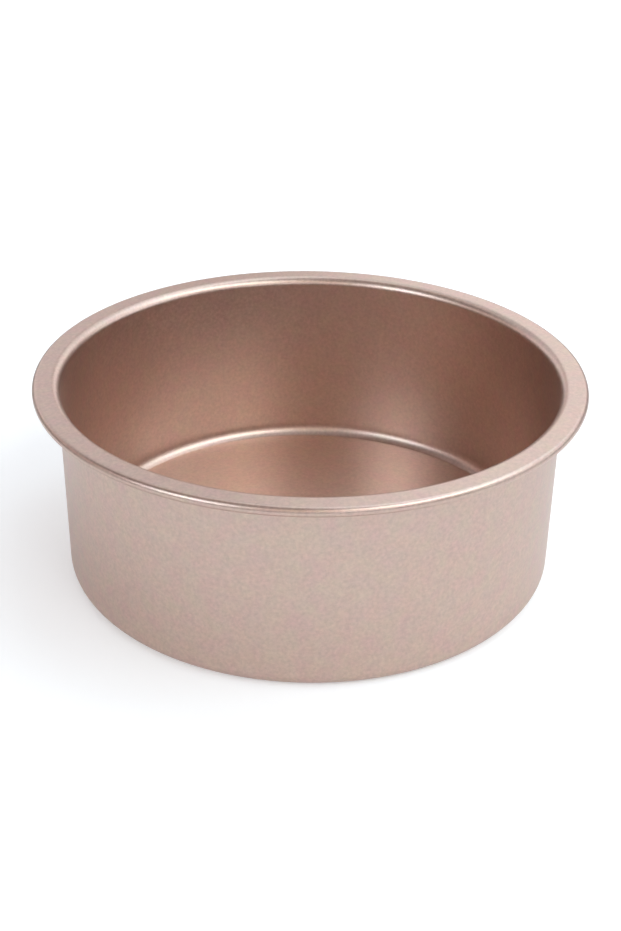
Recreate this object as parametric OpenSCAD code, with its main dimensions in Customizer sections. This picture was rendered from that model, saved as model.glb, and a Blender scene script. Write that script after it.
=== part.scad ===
// Loose-bottom cake pan: a drawn steel shell and a loose base that rests on a ledge inside it.
// Millimetres. Z is the pan's axis, up out of its mouth, and the shell's underside is at zero.

/* [Pan] */
// Inside diameter of the straight wall
pan_inner_d = 155; // [100:1:300]
// Height from the underside of the ledge to the top of the rim
pan_h = 64; // [40:1:120]
// Thickness of the shell's coated sheet
sheet_t = 0.8; // [0.4:0.1:1.2]

/* [Rim] */
// Reach of the rim beyond the outside of the wall
rim_reach = 7.6; // [6:0.1:14]
// Radius of the rounded edge that leads from the wall onto the flange
throat_r = 2.7; // [1.5:0.1:4]
// Outside radius of the rolled edge
curl_r = 1.5; // [1.3:0.05:2.5]
// Turn of the rolled edge, from the flange down, in and up again
curl_sweep = 260; // [180:5:290]

/* [Corner and ledge] */
// Outside radius of the drawn corner between wall and ledge
corner_r = 4.2; // [3:0.1:7]
// Flat land of the ledge, from the corner's bend to the hole
ledge_w = 5.4; // [3:0.1:12]

/* [Loose base] */
// Thickness of the base's coated sheet
base_t = 0.8; // [0.4:0.1:1.2]
// How far the base's edge stops short of the foot of the corner's bend
base_gap = 0.3; // [0.1:0.05:1]

/* [Hidden] */
$fn = 180;

// Angles in a section are in degrees: 0 is outward, 90 up, 180 inward and -90 down.
// Largest angle between the corner points of a cutting wedge
wedge_step = 45;

// Radii of the straight wall
wall_in_r = pan_inner_d / 2;
wall_out_r = wall_in_r + sheet_t;

// Centre line of each bend of the shell, as radius and height
throat_at = [wall_in_r + throat_r, pan_h - throat_r];
curl_at = [wall_out_r + rim_reach - curl_r, pan_h - curl_r];
corner_at = [wall_out_r - corner_r, corner_r];

// The hole in the ledge, measured to the tip of its rounded edge
hole_r = corner_at[0] - ledge_w;

// The base lies flat on the ledge, clear of the corner's bend all round
base_r = corner_at[0] - base_gap;

shell_color = [0.78, 0.66, 0.60];
base_color = [0.70, 0.56, 0.48];

// Corner points of a wedge that holds a circle of radius r between two angles
function wedge(r, a0, a1) =
    let (steps = ceil((a1 - a0) / wedge_step), step = (a1 - a0) / steps, reach = r / cos(step / 2))
    concat([[0, 0]], [for (i = [0 : steps]) 2 * reach * [cos(a0 + i * step), sin(a0 + i * step)]]);

// Section of a bent sheet of outside radius r and thickness t, round a centre
module bend(at, r, t, a0, a1) {
    translate(at)
        intersection() {
            difference() {
                circle(r);
                circle(r - t);
            }
            polygon(wedge(r, a0, a1));
        }
}

// Section of a flat stretch of sheet between two radii, lying on height z
module flat(r0, r1, z, t) {
    translate([r0, z])
        square([r1 - r0, t]);
}

// Section of the rounded end of a sheet, centred half a thickness inside its skins
module sheet_end(at, t) {
    translate(at)
        circle(t / 2);
}

module pan_body() {
    color(shell_color)
        rotate_extrude() {
            // Straight wall between the drawn corner and the throat
            translate([wall_in_r, corner_at[1]])
                square([sheet_t, throat_at[1] - corner_at[1]]);
            // Throat, flange and rolled edge
            bend(throat_at, throat_r, sheet_t, 90, 180);
            flat(throat_at[0], curl_at[0], pan_h - sheet_t, sheet_t);
            bend(curl_at, curl_r, sheet_t, 90 - curl_sweep, 90);
            // Drawn corner and the ledge that carries the base
            bend(corner_at, corner_r, sheet_t, -90, 0);
            flat(hole_r + sheet_t / 2, corner_at[0], 0, sheet_t);
            sheet_end([hole_r + sheet_t / 2, sheet_t / 2], sheet_t);
        }
}

// A flat disc whose edge is dressed round, so that it slides up the wall without scratching
module loose_base() {
    edge_at = [base_r - base_t / 2, sheet_t + base_t / 2];
    color(base_color)
        rotate_extrude() {
            flat(0, edge_at[0], sheet_t, base_t);
            sheet_end(edge_at, base_t);
        }
}

pan_body();
loose_base();
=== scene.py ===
"""Loose-bottom cake pan: the looks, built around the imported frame."""
import math

import bpy
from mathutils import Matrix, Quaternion, Vector


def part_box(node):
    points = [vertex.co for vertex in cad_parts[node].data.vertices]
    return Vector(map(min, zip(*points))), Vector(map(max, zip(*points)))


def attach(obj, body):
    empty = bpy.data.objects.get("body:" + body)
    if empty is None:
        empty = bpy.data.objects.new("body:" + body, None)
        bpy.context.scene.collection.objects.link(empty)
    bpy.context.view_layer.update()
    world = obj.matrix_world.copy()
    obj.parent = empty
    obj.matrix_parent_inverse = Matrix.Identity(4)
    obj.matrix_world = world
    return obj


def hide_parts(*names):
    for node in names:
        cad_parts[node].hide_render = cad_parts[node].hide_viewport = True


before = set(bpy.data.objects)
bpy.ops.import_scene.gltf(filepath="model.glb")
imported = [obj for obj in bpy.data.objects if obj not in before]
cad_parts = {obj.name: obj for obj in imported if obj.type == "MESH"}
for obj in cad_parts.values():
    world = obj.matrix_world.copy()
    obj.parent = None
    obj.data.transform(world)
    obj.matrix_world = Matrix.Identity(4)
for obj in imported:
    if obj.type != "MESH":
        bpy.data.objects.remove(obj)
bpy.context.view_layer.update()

# Sizes of the sheet and its bends, in metres and degrees. The frame gives the outer sizes
SHEET = 0.0008
RIM_REACH = 0.0076
THROAT_R = 0.0027
CURL_R = 0.0015
CURL_SWEEP = 260
CORNER_R = 0.0042
LEDGE_W = 0.0054
BASE_GAP = 0.0003
# Inside radius of the corner and thickness of the base, as the photograph shows them
CORNER_IN_R = 0.0044
BASE_SHEET = 0.0013

pan_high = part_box("pan_body")[1]
rim_r = max(pan_high.x, pan_high.y)
pan_h = pan_high.z
wall_out_r = rim_r - RIM_REACH
wall_in_r = wall_out_r - SHEET

# How finely the pan is turned, and the degrees between two points of a bend
TURN_STEPS = 256
BEND_STEP = 7.5
# A stretch longer than LONG gets holding points at HOLD from both its ends, in metres
HOLD = 0.0004
LONG = 3 * HOLD
# A point of a section that is closer to the axis than this lies on it
ON_AXIS = 1e-9

# Colours of the coating's film, and the tints that drift over it
ROSY = (0.606, 0.441, 0.388)
GOLDEN = (0.618, 0.464, 0.384)
PINK = (1.02, 0.98, 1.0)
GREEN = (0.98, 1.02, 1.0)
# Size in metres of the clouds of colour, of the grain and of the metal flakes
CLOUD = 0.005
GRAIN = 0.0011
FLAKE = 0.0003
# Octaves of the two noises, and the part of each noise's range that is put to use
CLOUD_DETAIL = 3
GRAIN_DETAIL = 2
CLOUD_RANGE = (0.35, 0.65)
GRAIN_RANGE = (0.3, 0.7)
# Factors by which grain and flakes darken and lighten the film
GRAIN_LIGHT = (0.92, 1.08)
FLAKE_LIGHT = (0.97, 1.03)
# Roughness of the film, from the darkest grain to the lightest
ROUGHNESS = (0.33, 0.39)
# Strength of the flakes' bump, and the height in metres between the lowest flake and the highest
FLAKE_BUMP = 0.2
FLAKE_DEPTH = FLAKE / 10

# Places of the Mix node's sockets for colours
MIX_FACTOR = 0
MIX_FIRST = 6
MIX_SECOND = 7
MIX_RESULT = 2

# The camera: its aim, distance and near limit in metres, its angles, and its lens in millimetres
CAMERA_AIM = Vector((0.00033, 0, 0.02945))
CAMERA_DISTANCE = 0.4468
CAMERA_NEAR = 0.01
CAMERA_ELEVATION = math.radians(28.97)
CAMERA_ROLL = math.radians(0.77)
CAMERA_LENS = 53.215

# How far the floor reaches in metres, and how white its surface is
FLOOR_REACH = 6.0
FLOOR_WHITE = 0.82
# Glow that lifts the floor to white, by the kind of ray that sees it
FLOOR_LIFT = [("Is Camera Ray", 0.28), ("Is Glossy Ray", 0.09), ("Is Transmission Ray", 0.09)]
# The glow grows FAR_RISE times between these two distances, because less light falls there
FAR = (0.35, 1.0)
FAR_RISE = 5.0

# Radius, height and finish of the dark card round the table
CARD_R = 0.6
CARD_H = 0.15
CARD_GREY = 0.05
CARD_ROUGHNESS = 0.9

# Tints of the lamps and of the room's light
COOL = (0.87, 1.03, 1.09)
BLUE = (0.82, 1.02, 1.16)
AMBER = (1.25, 1.03, 0.74)
WARM = (1.15, 0.93, 0.90)
WHITE = (1.0, 1.0, 1.0)

# The room by elevation in degrees: its brightness and its tint there
ROOM = [
    (0, 1.35, WHITE),
    (8, 1.35, WHITE),
    (20, 1.0, WARM),
    (40, 0.06, WARM),
    (60, 0.38, WARM),
    (90, 0.35, WARM),
]
ROOM_BRIGHT = 0.74

# The softboxes: azimuth and elevation in degrees, width and height in metres, radiance and tint
LAMP_DISTANCE = 1.5
SOFTBOXES = [
    ("softbox_key", 332, 49, 1.7, 0.66, 3.35, COOL),
    ("softbox_left", 223, 28, 0.75, 0.54, 3.95, BLUE),
    ("softbox_left_top", 223, 45, 0.5, 0.3, 1.55, COOL),
    ("softbox_back", 70, 47, 1.0, 1.8, 0.88, COOL),
    ("softbox_back_left", 124, 36, 1.2, 1.5, 0.46, BLUE),
    ("softbox_back_top", 128, 58, 0.4, 0.7, 0.28, AMBER),
    ("softbox_front", 284, 41, 1.6, 0.3, 0.85, AMBER),
    ("softbox_low_front", 290, 15, 0.8, 0.3, 2.1, BLUE),
    ("softbox_low_right", 0, 15, 1.6, 0.3, 1.68, BLUE),
    ("softbox_right", 35, 55, 0.63, 1.8, 1.33, BLUE),
]


def arc(centre, radius, start, end):
    """Points on an arc of a section, between two angles in degrees: 0 is outward and 90 is up."""
    steps = max(1, math.ceil(abs(end - start) / BEND_STEP))
    angles = [math.radians(start + (end - start) * i / steps) for i in range(steps + 1)]
    return [(centre[0] + radius * math.cos(a), centre[1] + radius * math.sin(a)) for a in angles]


def held(section):
    """A closed section with holding points near both ends of its long straight stretches."""
    out = []
    for (x0, z0), (x1, z1) in zip(section, section[1:] + section[:1]):
        out.append((x0, z0))
        length = math.hypot(x1 - x0, z1 - z0)
        if length > LONG:
            for share in (HOLD / length, 1 - HOLD / length):
                out.append((x0 + (x1 - x0) * share, z0 + (z1 - z0) * share))
    return out


def lathe(name, section):
    """A closed solid: the section turned about the Z axis. Points on the axis become one pole each."""
    verts, rings = [], []
    for x, z in section:
        if abs(x) < ON_AXIS:
            rings.append([len(verts)] * TURN_STEPS)
            verts.append((0.0, 0.0, z))
            continue
        rings.append(list(range(len(verts), len(verts) + TURN_STEPS)))
        for i in range(TURN_STEPS):
            a = 2 * math.pi * i / TURN_STEPS
            verts.append((x * math.cos(a), x * math.sin(a), z))
    faces = []
    for ring, above in zip(rings, rings[1:] + rings[:1]):
        for i in range(TURN_STEPS):
            j = (i + 1) % TURN_STEPS
            corners = list(dict.fromkeys((ring[i], ring[j], above[j], above[i])))
            if len(corners) > 2:
                faces.append(corners)
    mesh = bpy.data.meshes.new(name)
    mesh.from_pydata(verts, [], faces)
    mesh.validate()
    mesh.shade_smooth()
    piece = bpy.data.objects.new(name, mesh)
    bpy.context.scene.collection.objects.link(piece)
    return piece


def body_section():
    """Section of the shell, once round its sheet: under and outside first, then back along the inside."""
    corner = (wall_out_r - CORNER_R, CORNER_R)
    inner_corner = (wall_in_r - CORNER_IN_R, SHEET + CORNER_IN_R)
    throat = (wall_in_r + THROAT_R, pan_h - THROAT_R)
    curl = (rim_r - CURL_R, pan_h - CURL_R)
    edge = (corner[0] - LEDGE_W + SHEET / 2, SHEET / 2)
    curl_end = 90 - CURL_SWEEP
    outside = arc(edge, SHEET / 2, 180, 270) + arc(corner, CORNER_R, -90, 0)
    outside += arc(throat, THROAT_R - SHEET, 180, 90)
    outside += arc(curl, CURL_R - SHEET, 90, curl_end) + arc(curl, CURL_R, curl_end, 90)
    inside = arc(throat, THROAT_R, 90, 180) + arc(inner_corner, CORNER_IN_R, 0, -90)
    inside += arc(edge, SHEET / 2, 90, 180)[:-1]
    return held(outside + inside)


def base_section():
    """Section of the flat base from its axis: along the underside, round the edge and back along the top."""
    edge = (wall_out_r - CORNER_R - BASE_GAP - BASE_SHEET / 2, SHEET + BASE_SHEET / 2)
    return held([(0.0, SHEET)] + arc(edge, BASE_SHEET / 2, -90, 90) + [(0.0, SHEET + BASE_SHEET)])


def node(tree, kind, **settings):
    """A new node of a material or world, with its settings."""
    made = tree.nodes.new(kind)
    for key, value in settings.items():
        setattr(made, key, value)
    return made


def noise(tree, place, size, detail, seed):
    """Cloudy noise whose features are about as large as size, in metres."""
    made = node(tree, "ShaderNodeTexNoise", noise_dimensions="4D")
    made.inputs["Scale"].default_value = 1 / size
    made.inputs["Detail"].default_value = detail
    made.inputs["W"].default_value = seed
    tree.links.new(place, made.inputs["Vector"])
    return made.outputs["Fac"]


def spread(tree, value, goal, source=(0.0, 1.0)):
    """Maps a value's source range, a pair of numbers, onto the goal range."""
    made = node(tree, "ShaderNodeMapRange")
    made.inputs["From Min"].default_value, made.inputs["From Max"].default_value = source
    made.inputs["To Min"].default_value, made.inputs["To Max"].default_value = goal
    tree.links.new(value, made.inputs["Value"])
    return made.outputs["Result"]


def blend(tree, factor, first, second, mode="MIX"):
    """Mixes two colours. Each input is a plain value or a node's output."""
    made = node(tree, "ShaderNodeMix", data_type="RGBA", blend_type=mode)
    for place, value in ((MIX_FACTOR, factor), (MIX_FIRST, first), (MIX_SECOND, second)):
        socket = made.inputs[place]
        if isinstance(value, bpy.types.NodeSocket):
            tree.links.new(value, socket)
        elif isinstance(value, tuple):
            socket.default_value = (*value, 1)
        else:
            socket.default_value = value
    return made.outputs[MIX_RESULT]


def coating(name, seed):
    """Satin champagne coating: metal flakes in a thin film of paint, whose colour drifts in soft clouds."""
    material = bpy.data.materials.new(name)
    material.use_nodes = True
    tree = material.node_tree
    shader = tree.nodes["Principled BSDF"]
    shader.inputs["Metallic"].default_value = 1.0
    place = node(tree, "ShaderNodeTexCoord").outputs["Object"]
    cloud = noise(tree, place, CLOUD, CLOUD_DETAIL, seed)
    grain = noise(tree, place, GRAIN, GRAIN_DETAIL, seed + 1)
    drift = noise(tree, place, CLOUD, CLOUD_DETAIL, seed + 2)
    flakes = node(tree, "ShaderNodeTexVoronoi")
    flakes.inputs["Scale"].default_value = 1 / FLAKE
    tree.links.new(place, flakes.inputs["Vector"])
    glint = node(tree, "ShaderNodeSeparateColor")
    tree.links.new(flakes.outputs["Color"], glint.inputs["Color"])

    film = blend(tree, spread(tree, cloud, (0, 1), CLOUD_RANGE), ROSY, GOLDEN)
    tint = blend(tree, spread(tree, drift, (0, 1), CLOUD_RANGE), PINK, GREEN)
    film = blend(tree, 1.0, film, tint, "MULTIPLY")
    film = blend(tree, 1.0, film, spread(tree, grain, GRAIN_LIGHT, GRAIN_RANGE), "MULTIPLY")
    film = blend(tree, 1.0, film, spread(tree, glint.outputs["Red"], FLAKE_LIGHT), "MULTIPLY")
    tree.links.new(film, shader.inputs["Base Color"])
    tree.links.new(spread(tree, grain, ROUGHNESS, GRAIN_RANGE), shader.inputs["Roughness"])
    bump = node(tree, "ShaderNodeBump")
    bump.inputs["Strength"].default_value = FLAKE_BUMP
    bump.inputs["Distance"].default_value = FLAKE_DEPTH
    tree.links.new(glint.outputs["Green"], bump.inputs["Height"])
    tree.links.new(bump.outputs["Normal"], shader.inputs["Normal"])
    return material


def direction(azimuth, elevation):
    """Unit vector towards a place in the room, from its angles in degrees: azimuth 0 is +X, 270 the front."""
    a, e = math.radians(azimuth), math.radians(elevation)
    return Vector((math.cos(a) * math.cos(e), math.sin(a) * math.cos(e), math.sin(e)))


def add_camera():
    """The photograph's view: a long lens that looks down into the pan."""
    back = Vector((0, -math.cos(CAMERA_ELEVATION), math.sin(CAMERA_ELEVATION)))
    data = bpy.data.cameras.new("camera")
    data.lens = CAMERA_LENS
    data.clip_start = CAMERA_NEAR
    camera = bpy.data.objects.new("camera", data)
    camera.location = CAMERA_AIM + back * CAMERA_DISTANCE
    camera.rotation_mode = "QUATERNION"
    camera.rotation_quaternion = (-back).to_track_quat("-Z", "Y") @ Quaternion((0, 0, 1), CAMERA_ROLL)
    bpy.context.scene.collection.objects.link(camera)
    bpy.context.scene.camera = camera


def add_softbox(name, azimuth, elevation, width, height, radiance, tint):
    """A softbox that faces the pan. A radiance of 1 looks as bright as white paper in full light."""
    towards = direction(azimuth, elevation)
    data = bpy.data.lights.new(name, "AREA")
    data.shape = "RECTANGLE"
    data.size, data.size_y = width, height
    data.energy = radiance * math.pi * width * height
    data.color = tint
    softbox = bpy.data.objects.new(name, data)
    softbox.location = towards * LAMP_DISTANCE
    softbox.rotation_mode = "QUATERNION"
    softbox.rotation_quaternion = (-towards).to_track_quat("-Z", "Y")
    bpy.context.scene.collection.objects.link(softbox)


def floor_glow(tree):
    """How strongly the floor glows, by the kind of ray that sees it and by the distance from the pan."""
    rays = node(tree, "ShaderNodeLightPath").outputs
    glow = None
    for ray, lift in FLOOR_LIFT:
        total = node(tree, "ShaderNodeMath", operation="MULTIPLY_ADD")
        tree.links.new(rays[ray], total.inputs[0])
        total.inputs[1].default_value = lift
        total.inputs[2].default_value = 0.0
        if glow:
            tree.links.new(glow, total.inputs[2])
        glow = total.outputs["Value"]
    distance = node(tree, "ShaderNodeVectorMath", operation="LENGTH")
    tree.links.new(node(tree, "ShaderNodeTexCoord").outputs["Object"], distance.inputs[0])
    rise = node(tree, "ShaderNodeMath", operation="MULTIPLY")
    tree.links.new(glow, rise.inputs[0])
    tree.links.new(spread(tree, distance.outputs["Value"], (1.0, FAR_RISE), FAR), rise.inputs[1])
    return rise.outputs["Value"]


def add_floor():
    """A wide plain floor that shows white, to the eye and in the metal, and keeps the pan's soft shadow."""
    mesh = bpy.data.meshes.new("floor")
    corners = [(x * FLOOR_REACH, y * FLOOR_REACH, 0) for x, y in ((-1, -1), (1, -1), (1, 1), (-1, 1))]
    mesh.from_pydata(corners, [], [(0, 1, 2, 3)])
    floor = bpy.data.objects.new("floor", mesh)
    bpy.context.scene.collection.objects.link(floor)
    material = bpy.data.materials.new("floor_white")
    material.use_nodes = True
    tree = material.node_tree
    shader = tree.nodes["Principled BSDF"]
    shader.inputs["Base Color"].default_value = (FLOOR_WHITE, FLOOR_WHITE, FLOOR_WHITE, 1)
    shader.inputs["Roughness"].default_value = 1.0
    shader.inputs["Specular IOR Level"].default_value = 0.0
    shader.inputs["Emission Color"].default_value = (1, 1, 1, 1)
    tree.links.new(floor_glow(tree), shader.inputs["Emission Strength"])
    mesh.materials.append(material)


def add_cards():
    """A low dark card round the table that only the metal sees. It gives the rolled rim a thin dark line."""
    section = [(CARD_R, 0.0), (CARD_R + SHEET, 0.0), (CARD_R + SHEET, CARD_H), (CARD_R, CARD_H)]
    cards = lathe("edge_cards", section)
    material = bpy.data.materials.new("card_dark")
    material.use_nodes = True
    shader = material.node_tree.nodes["Principled BSDF"]
    shader.inputs["Base Color"].default_value = (CARD_GREY, CARD_GREY, CARD_GREY, 1)
    shader.inputs["Roughness"].default_value = CARD_ROUGHNESS
    cards.data.materials.append(material)
    cards.visible_camera = False
    cards.visible_diffuse = False
    cards.visible_shadow = False


def add_room():
    """The room: pale near the floor, with a dark band above it and a grey ceiling."""
    world = bpy.data.worlds.new("room")
    world.use_nodes = True
    tree = world.node_tree
    background = tree.nodes["Background"]
    split = node(tree, "ShaderNodeSeparateXYZ")
    tree.links.new(node(tree, "ShaderNodeTexCoord").outputs["Generated"], split.inputs["Vector"])
    ramp = node(tree, "ShaderNodeValToRGB")
    stops = ramp.color_ramp.elements
    for elevation, share, tint in ROOM[1:-1]:
        stops.new(math.sin(math.radians(elevation)))
    for stop, (elevation, share, tint) in zip(stops, ROOM):
        stop.position = math.sin(math.radians(elevation))
        stop.color = (*(share * channel for channel in tint), 1)
    tree.links.new(split.outputs["Z"], ramp.inputs["Fac"])
    tree.links.new(ramp.outputs["Color"], background.inputs["Color"])
    background.inputs["Strength"].default_value = ROOM_BRIGHT
    bpy.context.scene.world = world


add_camera()

pan_shell = lathe("pan_shell", body_section())
pan_shell.data.materials.append(coating("champagne_body", 1))
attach(pan_shell, "pan_body")
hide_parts("pan_body")

base_disc = lathe("base_disc", base_section())
base_disc.data.materials.append(coating("champagne_base", 5))
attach(base_disc, "loose_base")
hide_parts("loose_base")

add_floor()
add_cards()
add_room()
for softbox_settings in SOFTBOXES:
    add_softbox(*softbox_settings)

bpy.context.scene.view_settings.view_transform = "Standard"
